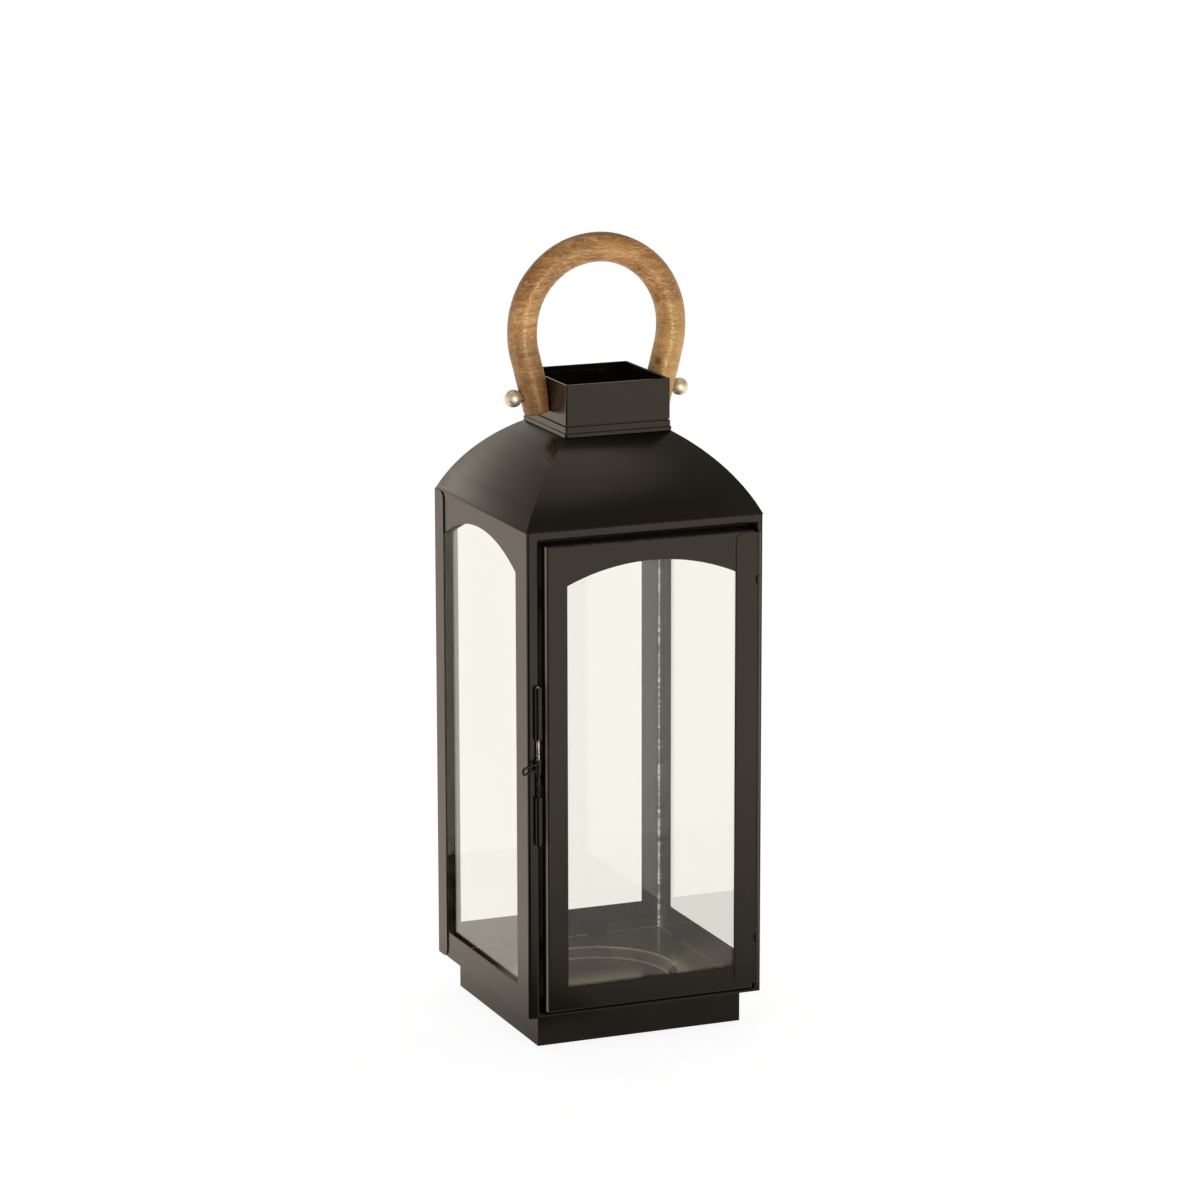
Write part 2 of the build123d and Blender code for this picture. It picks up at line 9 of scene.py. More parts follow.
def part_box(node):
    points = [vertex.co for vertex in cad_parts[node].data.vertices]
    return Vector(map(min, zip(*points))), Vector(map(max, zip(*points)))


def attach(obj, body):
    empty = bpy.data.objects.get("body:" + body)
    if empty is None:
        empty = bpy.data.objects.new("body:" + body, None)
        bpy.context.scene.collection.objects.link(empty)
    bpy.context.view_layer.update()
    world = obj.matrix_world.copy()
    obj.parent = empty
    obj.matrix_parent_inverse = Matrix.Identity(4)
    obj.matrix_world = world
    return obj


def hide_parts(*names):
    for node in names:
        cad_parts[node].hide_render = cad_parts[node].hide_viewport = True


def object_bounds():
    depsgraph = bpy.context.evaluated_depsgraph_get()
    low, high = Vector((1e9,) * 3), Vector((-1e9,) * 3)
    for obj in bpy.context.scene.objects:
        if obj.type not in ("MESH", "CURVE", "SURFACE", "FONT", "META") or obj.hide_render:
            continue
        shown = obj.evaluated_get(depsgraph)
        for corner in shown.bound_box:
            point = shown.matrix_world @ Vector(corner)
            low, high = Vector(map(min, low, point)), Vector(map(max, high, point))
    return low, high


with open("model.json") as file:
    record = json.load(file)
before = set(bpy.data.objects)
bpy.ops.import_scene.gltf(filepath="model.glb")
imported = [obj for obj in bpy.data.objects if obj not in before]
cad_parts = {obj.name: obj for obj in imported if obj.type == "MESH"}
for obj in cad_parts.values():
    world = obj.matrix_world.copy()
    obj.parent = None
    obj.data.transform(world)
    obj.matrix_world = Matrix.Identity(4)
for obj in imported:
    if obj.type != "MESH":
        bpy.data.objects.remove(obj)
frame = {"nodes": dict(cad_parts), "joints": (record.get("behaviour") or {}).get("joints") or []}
cad_low, cad_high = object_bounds()

MM = 0.001
JOINTS = {joint["name"]: joint for joint in frame["joints"]}

# Camera
CAMERA_TARGET = Vector((0.0, 0.0, 0.2688))
CAMERA_AZIMUTH = math.radians(-22.32)
CAMERA_ELEVATION = math.radians(12.59)
CAMERA_ROLL = math.radians(-0.10)
CAMERA_DISTANCE = 2.985
CAMERA_SIDESTEP = 0.0017
CAMERA_LENS = 140.13
CAMERA_SENSOR = 36.0
CAMERA_CLIP = (0.05, 60.0)

# Studio: bright and slightly warm round the sides, dimmer overhead and in front
STUDIO_HEIGHTS = ((0.0, 1.0), (0.36, 0.47), (0.66, 0.30), (0.84, 0.26), (0.96, 1.0))
STUDIO_FRONT = 0.52                  # how bright the front is beside the rest
STUDIO_FRONT_REACH = (-0.9, 0.3)     # the Y of the directions between which the front brightens
STUDIO_WARMTH = (1.04, 0.92, 0.78, 1.0)
FLOOR_HALF = 12.0
FLOOR_GAP = 0.2 * MM
FLOOR_PAINT = (0.25, 0.28, 0.33, 1.0)
FLOOR_ROUGHNESS = 0.9
FLOOR_WHITE = (1.0, 1.0, 1.0, 1.0)
FLOOR_GLOW = 0.90
# The floor in reflections only: distance from the lantern's axis with brightness, and its tint
FLOOR_BEFORE = ((0.09, 0.22), (0.28, 0.55), (0.75, 1.12))
FLOOR_BEHIND = ((0.09, 0.72), (0.24, 1.10), (0.75, 1.04))
WARMTH_BEFORE, WARMTH_BEHIND = (1.04, 0.94, 0.83), (1.04, 0.90, 0.76)
FLOOR_TURN = (-0.10, 0.10)           # the Y between which before goes over into behind
CARD_BEARINGS = (4, 84)              # degrees from the door side towards the left
CARD_NEAR, CARD_FAR, CARD_TOP, CARD_LIFT = 0.12, 0.55, 0.36, 0.001
CARD_STEPS = 24
CARD_BLACK = (0.01, 0.01, 0.01, 1.0)
STRIP_PLACE = (-0.10, -0.86, 0.36)
STRIP_AIM = (0.0, 0.0, 0.25)
STRIP_SIZE = (0.24, 0.62)
STRIP_POWER = 3.5
STRIP_COLOUR = (1.0, 0.91, 0.72)

# Colours, each pair from dark to light
COAT = ((0.0052, 0.0041, 0.0029), (0.0088, 0.0070, 0.0050))
COAT_WORN = (0.040, 0.034, 0.027)
# painted highlight on the edges that face up
COAT_TOP_EDGE_HIGHLIGHT = (0.26, 0.23, 0.19)
COAT_SHEEN = (1.0, 0.95, 0.86, 1.0)
# painted highlight on the front of the door's left-facing sides
DOOR_SIDE_HIGHLIGHT = (0.42, 0.38, 0.31)
WIRE_COAT = ((0.0022, 0.0019, 0.0016), (0.0045, 0.0039, 0.0033))
WIRE_WORN = (0.045, 0.040, 0.035)
TRAY_COAT = ((0.100, 0.078, 0.048), (0.140, 0.110, 0.070))
TRAY_WORN = (0.20, 0.17, 0.13)
# painted highlight lines on the tray round its recess
RING_HIGHLIGHT = (0.72, 0.66, 0.54)
NICKEL = ((0.86, 0.79, 0.66), (0.95, 0.89, 0.77))
STEEL = ((0.30, 0.28, 0.25), (0.52, 0.49, 0.45))
DULLED_STEEL = ((0.06, 0.055, 0.05), (0.30, 0.28, 0.25))
PLATING = ((0.10, 0.095, 0.085), (0.80, 0.77, 0.70))
# the spindle below the loop, darker than above it
SPINDLE_BELOW_LOOP = ((0.020, 0.018, 0.015), (0.075, 0.068, 0.060))
NYLON = ((0.012, 0.012, 0.012), (0.03, 0.03, 0.03))
GLASS = ((0.945, 0.945, 0.905), (0.935, 0.940, 0.895))
GLASS_SHADOW = (0.93, 0.95, 0.92)
GLASS_EDGE = ((0.30, 0.40, 0.33), (0.86, 0.93, 0.84))
# painted glint: glow on the panes' upright ground edges
GLASS_EDGE_GLINT = (0.86, 0.92, 0.80, 1.0)
GLASS_IOR = 1.5
PANE_ARRIS = (0.4 * MM, 1.1 * MM)    # how far in from a pane's upright edge its chipped arris, with its painted glint, fades
WOOD_BANDS = ((0.30, (0.175, 0.074, 0.030)), (0.44, (0.335, 0.158, 0.062)),
              (0.57, (0.500, 0.262, 0.108)), (0.72, (0.740, 0.460, 0.215)))
WOOD_LINE_DARK, WOOD_LINE_LIGHT = (0.165, 0.068, 0.022), (0.780, 0.500, 0.200)
WOOD_SMOKE = (0.200, 0.102, 0.048)
WOOD_RUSSET = (0.340, 0.130, 0.048)
WOOD_FIBRE_DARK, WOOD_FIBRE_LIGHT = (0.150, 0.062, 0.022), (0.860, 0.600, 0.260)
WOOD_PORE = (0.080, 0.034, 0.013)
WOOD_DUSK = (0.130, 0.056, 0.021)
WOOD_GOLD = (0.780, 0.520, 0.180)
WOOD_KNOT = (0.060, 0.024, 0.010)
WOOD_SHEEN = (1.0, 0.84, 0.58, 1.0)
WOOD_SHINE = 0.85
WOOD_GRAIN_TURN = (0.35, 0.12, 0.0)
DUSK_HEIGHTS, DUSK_SIDE = (0.445, 0.395), (0.0, -0.03)       # the left leg is darker
GOLD_HEIGHTS, GOLD_SIDE = (0.47, 0.42), (0.03, 0.055)        # and the right one more golden

# Roughness, wear, painted highlights and small rounded edges on the sheet metal
COAT_ROUGHNESS, WIRE_ROUGHNESS, TRAY_ROUGHNESS = 0.22, 0.25, 0.16
TRAY_METAL = 0.45
EDGE_WEAR_AND_HIGHLIGHT = 0.45 * MM
SIDE_HIGHLIGHT_DEPTHS = (2.6 * MM, 4.4 * MM)     # depths behind the door's face between which its painted highlight fades
# painted highlight lines on the tray: radius round the axis, width and strength
TRAY_RING_HIGHLIGHTS = ((51.6 * MM, 1.4 * MM, 0.95), (46.2 * MM, 1.2 * MM, 0.75), (49.0 * MM, 3.5 * MM, 0.14))
EASED, FRAME_EASED, DOOR_EASED = 0.25 * MM, 0.38 * MM, 0.5 * MM
EASED_FROM = math.radians(28)        # folds sharper than this are rounded
WELD_REACH = 0.001 * MM
BALL_SCRATCHES = (900.0, 60.0, 60.0)         # how fine they are along X, Y and Z
PIN_SCRATCHES = (500.0, 500.0, 2200.0)

# Wooden handle, measured from its pivot and its highest point
BOW_RADIUS = 50.6 * MM
BOW_STRETCH = 2.7 * MM
WOOD_RADIUS = 9.5 * MM
LEG_LEAN = math.radians(14.3)
LEG_LENGTH = 37.8 * MM
LEG_END_ROUNDING = 1.8 * MM
LEG_FLAT = 36.2 * MM
LEG_FLAT_DROP = 20.7 * MM
LEG_FLAT_RISE = 24.5 * MM
SEAT_RADIUS, SEAT_X = 6.4 * MM, 52.1 * MM
BORE_RADIUS = 2.58 * MM
EDGE_EASED = 0.35 * MM
KNOT_PLACE = (39.2 * MM, -6.2 * MM, 422.0 * MM)
KNOT_PULL, KNOT_CORE, KNOT_RIM = 7.0 * MM, 1.2 * MM, 3.4 * MM
RINGS_ON_LEG = 26
RINGS_ON_BOW = 120
RINGS_ON_BEND = 12
RINGS_ON_END = 8
POINTS_ROUND = 72
ROD_SIDES = 48
UNEVEN = ((0.05 * MM, 95.0, 2, 0.0), (0.04 * MM, 211.0, -3, 1.3))    # depth, pace along, waves round, start
SANDED_OFF = 0.09 * MM
CREASE = 30                          # degrees, sharper meetings stay sharp
EDGE_EASED_FROM = math.radians(35)

# Pieces with the plain powder coat
COATED = ["plinth", "base_plate", "front_frame", "back_wall", "left_wall", "right_wall", "roof",
          "chimney_collar", "chimney", "lower_glass_clips", "upper_glass_clips", "door_hinge_strip",
          "door_glass_clips", "frame_hinge_knuckles"]


class Graph:
    """A material's node tree, with short ways to add and join nodes."""

    def __init__(self, name):
        self.material = bpy.data.materials.new(name)
        self.material.use_nodes = True
        self.tree = self.material.node_tree
        self.tree.nodes.clear()
        self.out = self.tree.nodes.new("ShaderNodeOutputMaterial")

    def node(self, kind, inputs=None, **settings):
        made = self.tree.nodes.new("ShaderNode" + kind)
        for key, value in settings.items():
            setattr(made, key, value)
        for key, value in (inputs or {}).items():
            self.put(made.inputs[key], value)
        return made

    def put(self, socket, value):
        if isinstance(value, bpy.types.NodeSocket):
            self.tree.links.new(value, socket)
        else:
            socket.default_value = value

    def place(self):
        return self.node("TexCoord").outputs["Object"]

    def stretched(self, scale, turn=(0, 0, 0)):
        made = self.node("Mapping", {"Vector": self.place(), "Scale": scale, "Rotation": turn})
        return made.outputs["Vector"]

    def noise(self, scale, detail=2.0, roughness=0.5, where=None, distortion=0.0):
        made = self.node("TexNoise", {"Vector": where or self.place(), "Scale": scale, "Detail": detail,
                                      "Roughness": roughness, "Distortion": distortion})
        return made.outputs["Fac"]

    def ramp(self, value, *stops):
        made = self.node("ValToRGB", {"Fac": value})
        elements = made.color_ramp.elements
        while len(elements) < len(stops):
            elements.new(0.5)
        for element, (at, colour) in zip(elements, stops):
            element.position = at
            element.color = (*colour, 1.0) if len(colour) == 3 else colour
        return made.outputs["Color"]

    def span(self, value, low, high, new_low, new_high):
        made = self.node("MapRange", {"Value": value, "From Min": low, "From Max": high,
                                      "To Min": new_low, "To Max": new_high})
        return made.outputs["Result"]

    def math(self, operation, *values):
        made = self.node("Math", operation=operation)
        for socket, value in zip(made.inputs, values):
            self.put(socket, value)
        return made.outputs["Value"]

    def mix(self, factor, a, b, blend="MIX"):
        made = self.node("Mix", data_type="RGBA", blend_type=blend)
        self.put(made.inputs["Factor"], factor)
        for socket, value in zip([s for s in made.inputs if s.type == "RGBA"], (a, b)):
            if isinstance(value, tuple) and len(value) == 3:
                value = (*value, 1.0)
            self.put(socket, value)
        return [s for s in made.outputs if s.type == "RGBA"][0]

    def sum_of(self, a, b):
        made = self.node("VectorMath", operation="ADD")
        self.put(made.inputs[0], a)
        self.put(made.inputs[1], b)
        return made.outputs["Vector"]

    def scaled(self, vector, by):
        made = self.node("VectorMath", operation="SCALE")
        self.put(made.inputs[0], vector)
        self.put(made.inputs["Scale"], by)
        return made.outputs["Vector"]

    def parts(self, vector):
        """The X, Y and Z outputs of a vector."""
        return self.node("SeparateXYZ", {"Vector": vector}).outputs

    def from_axis(self):
        """Distance from the upright axis through the object's origin."""
        place = self.parts(self.place())
        squares = [self.math("POWER", place[axis], 2.0) for axis in ("X", "Y")]
        return self.math("SQRT", self.math("ADD", *squares))

    def join(self, factor, first, second):
        """A shader that goes from first to second as factor goes from 0 to 1."""
        made = self.node("MixShader", {0: factor})
        self.tree.links.new(first.outputs[0], made.inputs[1])
        self.tree.links.new(second.outputs[0], made.inputs[2])
        return made

    def finish(self, shader):
        self.tree.links.new(shader.outputs[0], self.out.inputs["Surface"])
        return self.material

    def bump(self, height, strength, distance, normal=None):
        inputs = {"Height": height, "Strength": strength, "Distance": distance}
        if normal is not None:
            inputs["Normal"] = normal
        return self.node("Bump", inputs).outputs["Normal"]

    def edges(self, radius, gain):
        """How near a point is to a sharp edge: 0 on a flat, 1 on the edge."""
        round_normal = self.node("Bevel", {"Radius": radius}, samples=4).outputs["Normal"]
        true_normal = self.node("NewGeometry").outputs["Normal"]
        made = self.node("VectorMath", operation="DOT_PRODUCT")
        self.put(made.inputs[0], round_normal)
        self.put(made.inputs[1], true_normal)
        return self.span(made.outputs["Value"], 0.985, 0.985 - gain, 0.0, 1.0)

    def surface(self, **inputs):
        named = {key.replace("_", " "): value for key, value in inputs.items()}
        return self.finish(self.node("BsdfPrincipled", named))


def powder_coat(name, coat, worn, roughness, rings=(), metal=0.0, painted_side_highlight=None):
    """Satin powder coat on sheet steel: fine orange peel, faint mottling, edges worn paler at the sides, and
    a painted highlight along the edges that face up.

    rings gives radii round the upright axis where painted highlight lines are drawn, each with its width
    and how much. The last argument gives the colour of a painted highlight on the front part of the faces
    that look left, with the depths between which that highlight fades out."""
    g = Graph(name)
    dark, light = coat
    broad = g.noise(11.0, 3.0, 0.55)
    fine = g.noise(420.0, 3.0, 0.6)
    colour = g.mix(g.span(broad, 0.35, 0.65, 0.0, 1.0), dark, light)
    colour = g.mix(g.span(fine, 0.52, 0.75, 0.0, 0.5), colour, light)
    patches = g.span(g.noise(150.0, 4.0, 0.7), 0.40, 0.62, 0.15, 0.8)
    # Paler edges: real wear at the sides, and a painted highlight on the edges that face up
    rubbed_and_lit_edges = g.math("MULTIPLY", g.edges(EDGE_WEAR_AND_HIGHLIGHT, 0.16), patches)
    facing = g.parts(g.node("TexCoord").outputs["Normal"])
    upward = g.span(facing["Z"], 0.15, 0.45, 0.0, 1.0)
    colour = g.mix(rubbed_and_lit_edges, colour, g.mix(upward, worn, COAT_TOP_EDGE_HIGHLIGHT))
    # Painted highlight lines round the upright axis
    if rings:
        colour = painted_ring_highlights(g, colour, rings)
    # Painted highlight on the front part of the faces that look left
    if painted_side_highlight:
        paler, near, far = painted_side_highlight
        leftward = g.span(facing["X"], -0.75, -0.95, 0.0, 1.0)
        shallow = g.span(g.parts(g.place())["Y"], near, far, 1.0, 0.0)
        colour = g.mix(g.math("MULTIPLY", leftward, shallow), colour, paler)
    rough = g.span(broad, 0.3, 0.7, roughness - 0.02, roughness + 0.02)
    rough = g.math("ADD", rough, g.span(fine, 0.3, 0.7, -0.02, 0.03))
    peel = g.bump(g.noise(1100.0, 2.0, 0.5), 0.22, 0.012 * MM)
    grit = g.bump(g.noise(4200.0, 2.0, 0.6), 0.18, 0.005 * MM, peel)
    return g.surface(Base_Color=colour, Roughness=rough, Normal=grit, Specular_Tint=COAT_SHEEN,
                     Metallic=metal)


# Painted highlight lines at given radii round the upright axis, broken up by noise
def painted_ring_highlights(g, colour, rings):
    reach = g.from_axis()
    highlight_breakup = g.span(g.noise(60.0, 4.0, 0.7), 0.35, 0.6, 0.55, 1.0)
    for radius, width, amount in rings:
        away = g.math("ABSOLUTE", g.math("SUBTRACT", reach, radius))
        line = g.math("MULTIPLY", g.span(away, 0.0, width, amount, 0.0), highlight_breakup)
        colour = g.mix(line, colour, RING_HIGHLIGHT)
    return colour


def bare_metal(name, metal, roughness, grain):
    """Plain or plated metal with fine turned scratches and slight tarnish."""
    g = Graph(name)
    stain = g.noise(180.0, 4.0, 0.6)
    colour = g.mix(g.span(stain, 0.3, 0.7, 0.0, 1.0), *metal)
    scratch = g.noise(1.0, 3.0, 0.65, where=g.stretched(grain))
    rough = g.span(stain, 0.3, 0.7, roughness + 0.05, roughness - 0.03)
    rough = g.math("ADD", g.span(scratch, 0.3, 0.7, -0.05, 0.05), rough)
    return g.surface(Base_Color=colour, Metallic=1.0, Roughness=rough,
                     Normal=g.bump(scratch, 0.25, 0.015 * MM))


def spotted_spindle(name, middle_z):
    """Steel rod with patchy bright plating above the loop, and darker below it."""
    g = Graph(name)
    patch = g.span(g.noise(330.0, 3.0, 0.7), 0.42, 0.54, 0.0, 1.0)
    above = g.span(g.parts(g.place())["Z"], middle_z - 1.0 * MM, middle_z + 1.0 * MM, 0.0, 1.0)
    colour = g.mix(above, g.mix(patch, *SPINDLE_BELOW_LOOP), g.mix(patch, *PLATING))
    return g.surface(Base_Color=colour, Metallic=1.0, Roughness=g.span(patch, 0.0, 1.0, 0.35, 0.22),
                     Normal=g.bump(g.noise(900.0, 2.0, 0.6), 0.3, 0.02 * MM))


def nylon(name):
    g = Graph(name)
    return g.surface(Base_Color=g.mix(g.noise(300.0), *NYLON), Normal=g.bump(g.noise(1500.0), 0.2, 0.01 * MM),
                     Roughness=g.span(g.noise(700.0), 0.3, 0.7, 0.45, 0.6))


def pane(node, flat_axis, wide_axis):
    """Clear float glass with a faint green edge, its edges ground and its upright arrises chipped, and a
    painted glint glowing along its upright edges.

    flat_axis is the axis through the pane's thickness and wide_axis the one along its width."""
    g = Graph(node + "_pane")
    facing = g.parts(g.node("TexCoord").outputs["Normal"])
    edge = g.span(g.math("ABSOLUTE", facing[flat_axis]), 0.9, 0.4, 0.0, 1.0)
    upright = g.span(g.math("ABSOLUTE", facing["Z"]), 0.1, 0.9, 1.0, 0.12)
    low, high = [corner["XYZ".index(wide_axis)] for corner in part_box(node)]
    from_middle = g.math("ABSOLUTE", g.math("SUBTRACT", g.parts(g.place())[wide_axis], (low + high) / 2))
    inset = g.math("SUBTRACT", (high - low) / 2, from_middle)
    smear = g.noise(9.0, 3.0, 0.5)
    tint = g.mix(g.span(smear, 0.3, 0.7, 0.0, 1.0), *GLASS)
    haze = g.span(smear, 0.4, 0.75, 0.0, 0.005)
    glass = g.node("BsdfPrincipled", {"Base Color": tint, "Roughness": haze, "Transmission Weight": 1.0,
                                      "IOR": GLASS_IOR})
    chips = g.span(g.noise(1.0, 2.0, 0.6, where=g.stretched((60.0, 60.0, 620.0))), 0.42, 0.62, 0.0, 1.0)
    arris = g.math("MULTIPLY", g.span(inset, *PANE_ARRIS, 1.0, 0.0), g.span(chips, 0.0, 1.0, 0.08, 0.42))
    edge = g.math("MAXIMUM", edge, arris)
    # Painted glint: the ground edges and arrises glow, though they are no lamp
    glow = g.math("MULTIPLY", upright, g.span(chips, 0.0, 1.0, 0.14, 0.62))
    ground = g.node("BsdfPrincipled", {"Base Color": g.mix(chips, *GLASS_EDGE), "Transmission Weight": 0.35,
                                       "Roughness": g.span(chips, 0.0, 1.0, 0.30, 0.55),
                                       "Emission Color": GLASS_EDGE_GLINT, "Emission Strength": glow})
    clear = g.node("BsdfTransparent", {"Color": g.mix(0.5, tint, GLASS_SHADOW)})
    shadow = g.node("LightPath").outputs["Is Shadow Ray"]
    return g.finish(g.join(shadow, g.join(edge, glass, ground), clear))


def wood_grain(g, where, scale, detail, roughness):
    stretched = g.node("Mapping", {"Vector": where, "Scale": scale, "Rotation": WOOD_GRAIN_TURN})
    return g.noise(1.0, detail, roughness, where=stretched.outputs["Vector"])


def from_knot(g, place):
    made = g.node("VectorMath", operation="DISTANCE")
    g.put(made.inputs[0], place)
    g.put(made.inputs[1], KNOT_PLACE)
    return made.outputs["Value"]


def bent_place(g, place, knot):
    """Places in the wood with the grain's slow swirl, and pulled aside round the knot."""
    swirl = g.node("TexNoise", {"Vector": place, "Scale": 34.0, "Detail": 2.0, "Roughness": 0.45})
    bent = g.sum_of(place, g.scaled(g.sum_of(swirl.outputs["Color"], (-0.5, -0.5, -0.5)), 0.013))
    pull = g.math("MULTIPLY", g.span(knot, 0.0, KNOT_PULL, 1.0, 0.0), -0.6)
    return g.sum_of(bent, g.scaled(g.sum_of(place, tuple(-v for v in KNOT_PLACE)), pull))


def mango_wood(name):
    """Oiled mango wood, its grain running across the handle: golden bands, smoky streaks, pores, a knot."""
    g = Graph(name)
    place = g.place()
    knot = from_knot(g, place)
    bent = bent_place(g, place, knot)
    bands = wood_grain(g, bent, (12.0, 48.0, 80.0), 3.0, 0.55)
    lines = wood_grain(g, bent, (26.0, 120.0, 560.0), 5.0, 0.78)
    pores = wood_grain(g, bent, (190.0, 1100.0, 2400.0), 1.0, 0.5)
    fibres = wood_grain(g, bent, (210.0, 700.0, 1900.0), 2.0, 0.6)
    smoke = g.noise(22.0, 4.0, 0.62, distortion=0.8)
    russet = g.noise(48.0, 3.0, 0.6, distortion=0.5)
    flecks = g.noise(520.0, 3.0, 0.7)
    at = g.parts(place)
    leftward, rightward = g.span(at["X"], *DUSK_SIDE, 0.0, 1.0), g.span(at["X"], *GOLD_SIDE, 0.0, 1.0)
    dusk = g.math("MULTIPLY", g.span(at["Z"], *DUSK_HEIGHTS, 0.0, 0.74), leftward)
    gold = g.math("MULTIPLY", g.span(at["Z"], *GOLD_HEIGHTS, 0.0, 0.45), rightward)
    colour = g.ramp(bands, *WOOD_BANDS)
    colour = g.mix(g.span(lines, 0.50, 0.64, 0.0, 0.72), colour, WOOD_LINE_DARK)
    colour = g.mix(g.span(lines, 0.46, 0.32, 0.0, 0.50), colour, WOOD_LINE_LIGHT)
    colour = g.mix(g.span(smoke, 0.47, 0.66, 0.0, 0.72), colour, WOOD_SMOKE)
    colour = g.mix(g.span(russet, 0.52, 0.68, 0.0, 0.5), colour, WOOD_RUSSET)
    colour = g.mix(g.span(fibres, 0.54, 0.68, 0.0, 0.50), colour, WOOD_FIBRE_DARK)
    colour = g.mix(g.span(fibres, 0.46, 0.34, 0.0, 0.45), colour, WOOD_FIBRE_LIGHT)
    colour = g.mix(g.span(pores, 0.60, 0.74, 0.0, 0.75), colour, WOOD_PORE)
    colour = g.mix(dusk, colour, WOOD_DUSK)
    colour = g.mix(gold, colour, WOOD_GOLD)
    colour = g.mix(g.span(knot, KNOT_CORE, KNOT_RIM, 0.85, 0.0), colour, WOOD_KNOT)
    rough = g.math("ADD", g.span(flecks, 0.38, 0.62, 0.15, 0.46), g.span(fibres, 0.35, 0.65, -0.03, 0.10))
    normal = g.bump(lines, 0.75, 0.12 * MM)
    normal = g.bump(fibres, 0.7, 0.05 * MM, normal)
    normal = g.bump(flecks, 0.8, 0.10 * MM, normal)
    normal = g.bump(g.span(pores, 0.60, 0.74, 1.0, 0.0), 0.5, 0.07 * MM, normal)
    return g.surface(Base_Color=colour, Roughness=rough, Normal=normal, Specular_Tint=WOOD_SHEEN,
                     Specular_IOR_Level=WOOD_SHINE)


def arc_points(centre_z, start, end, count):
    """Points on an arc of the bow in the XZ plane, its ends included."""
    points = []
    for i in range(count + 1):
        angle = start + (end - start) * i / count
        points.append(Vector((BOW_RADIUS * math.cos(angle), 0, centre_z + BOW_RADIUS * math.sin(angle))))
    return points


def bow_path(top_z):
    """Centreline points of the handle, from the left leg's end to the right leg's."""
    centre_z = top_z - WOOD_RADIUS - BOW_RADIUS
    low_z = centre_z - BOW_STRETCH
    left_bend = arc_points(low_z, math.pi + LEG_LEAN, math.pi, RINGS_ON_BEND)
    top = arc_points(centre_z, math.pi, 0.0, RINGS_ON_BOW)
    right_bend = arc_points(low_z, 0.0, -LEG_LEAN, RINGS_ON_BEND)
    right_way = Vector((-math.sin(LEG_LEAN), 0, -math.cos(LEG_LEAN)))
    left_way = Vector((math.sin(LEG_LEAN), 0, -math.cos(LEG_LEAN)))
    steps = [LEG_LENGTH * i / RINGS_ON_LEG for i in range(1, RINGS_ON_LEG + 1)]
    left = [left_bend[0] + left_way * s for s in reversed(steps)]
    right = [right_bend[-1] + right_way * s for s in steps]
    return left + left_bend + top + right_bend + right


def tube_along(points, radius_at):
    """A closed round tube along points in the XZ plane. radius_at gives the radius at a length."""
    bm = bmesh.new()
    lengths = [0.0]
    for a, b in zip(points, points[1:]):
        lengths.append(lengths[-1] + (b - a).length)
    total = lengths[-1]
    rows = []
    for i, point in enumerate(points):
        ahead = points[min(i + 1, len(points) - 1)] - points[max(i - 1, 0)]
        ahead.normalize()
        across = Vector((0, 1, 0))
        outward = ahead.cross(across)
        rings = []
        for j in range(POINTS_ROUND):
            turn = 2 * math.pi * j / POINTS_ROUND
            radius = radius_at(lengths[i], total, turn)
            rings.append(bm.verts.new(point + radius * (math.cos(turn) * across + math.sin(turn) * outward)))
        rows.append(rings)
    for a, b in zip(rows, rows[1:]):
        for j in range(POINTS_ROUND):
            k = (j + 1) % POINTS_ROUND
            bm.faces.new((a[j], a[k], b[k], b[j]))
    bm.faces.new(list(reversed(rows[0])))
    bm.faces.new(rows[-1])
    bmesh.ops.recalc_face_normals(bm, faces=bm.faces)
    return bm


def rounded_end(length, total, turn):
    """The wood's radius near an end, where its rim is rounded over, with the faint unevenness of sanding."""
    near = min(length, total - length)
    radius = WOOD_RADIUS
    if near < LEG_END_ROUNDING:
        back = LEG_END_ROUNDING - near
        radius -= LEG_END_ROUNDING - math.sqrt(max(LEG_END_ROUNDING ** 2 - back ** 2, 0.0))
    for depth, pace, waves, start in UNEVEN:
        radius += depth * math.sin(length * pace + waves * turn + start)
    return radius - SANDED_OFF


def end_rings(points):
    """The path with extra points close to both ends, so that the rounding there is smooth."""
    turns = [math.pi / 2 * i / RINGS_ON_END for i in range(1, RINGS_ON_END)]
    extra = [LEG_END_ROUNDING * (1 - math.cos(turn)) for turn in turns]
    first = (points[1] - points[0]).normalized()
    last = (points[-2] - points[-1]).normalized()
    head = [points[0] + first * s for s in extra]
    tail = [points[-1] + last * s for s in reversed(extra)]
    ends = (points[0], points[-1])
    keep = [p for p in points[1:-1] if min((p - end).length for end in ends) > LEG_END_ROUNDING]
    return [points[0]] + head + keep + tail + [points[-1]]


def as_object(bm, name):
    mesh = bpy.data.meshes.new(name)
    bm.to_mesh(mesh)
    bm.free()
    obj = bpy.data.objects.new(name, mesh)
    bpy.context.scene.collection.objects.link(obj)
    return obj


def cutter_box(low, high):
    bm = bmesh.new()
    bmesh.ops.create_cube(bm, size=1.0)
    for v in bm.verts:
        v.co = Vector([(a + b) / 2 + c * (b - a) for a, b, c in zip(low, high, v.co)])
    return as_object(bm, "cut_box")


def cutter_rod(x0, x1, z, radius):
    bm = bmesh.new()
    bmesh.ops.create_cone(bm, cap_ends=True, segments=ROD_SIDES, radius1=radius, radius2=radius,
                          depth=x1 - x0)
    for v in bm.verts:
        v.co = Vector((v.co.z + (x0 + x1) / 2, v.co.y, z + v.co.x))
    bmesh.ops.recalc_face_normals(bm, faces=bm.faces)
    return as_object(bm, "cut_rod")


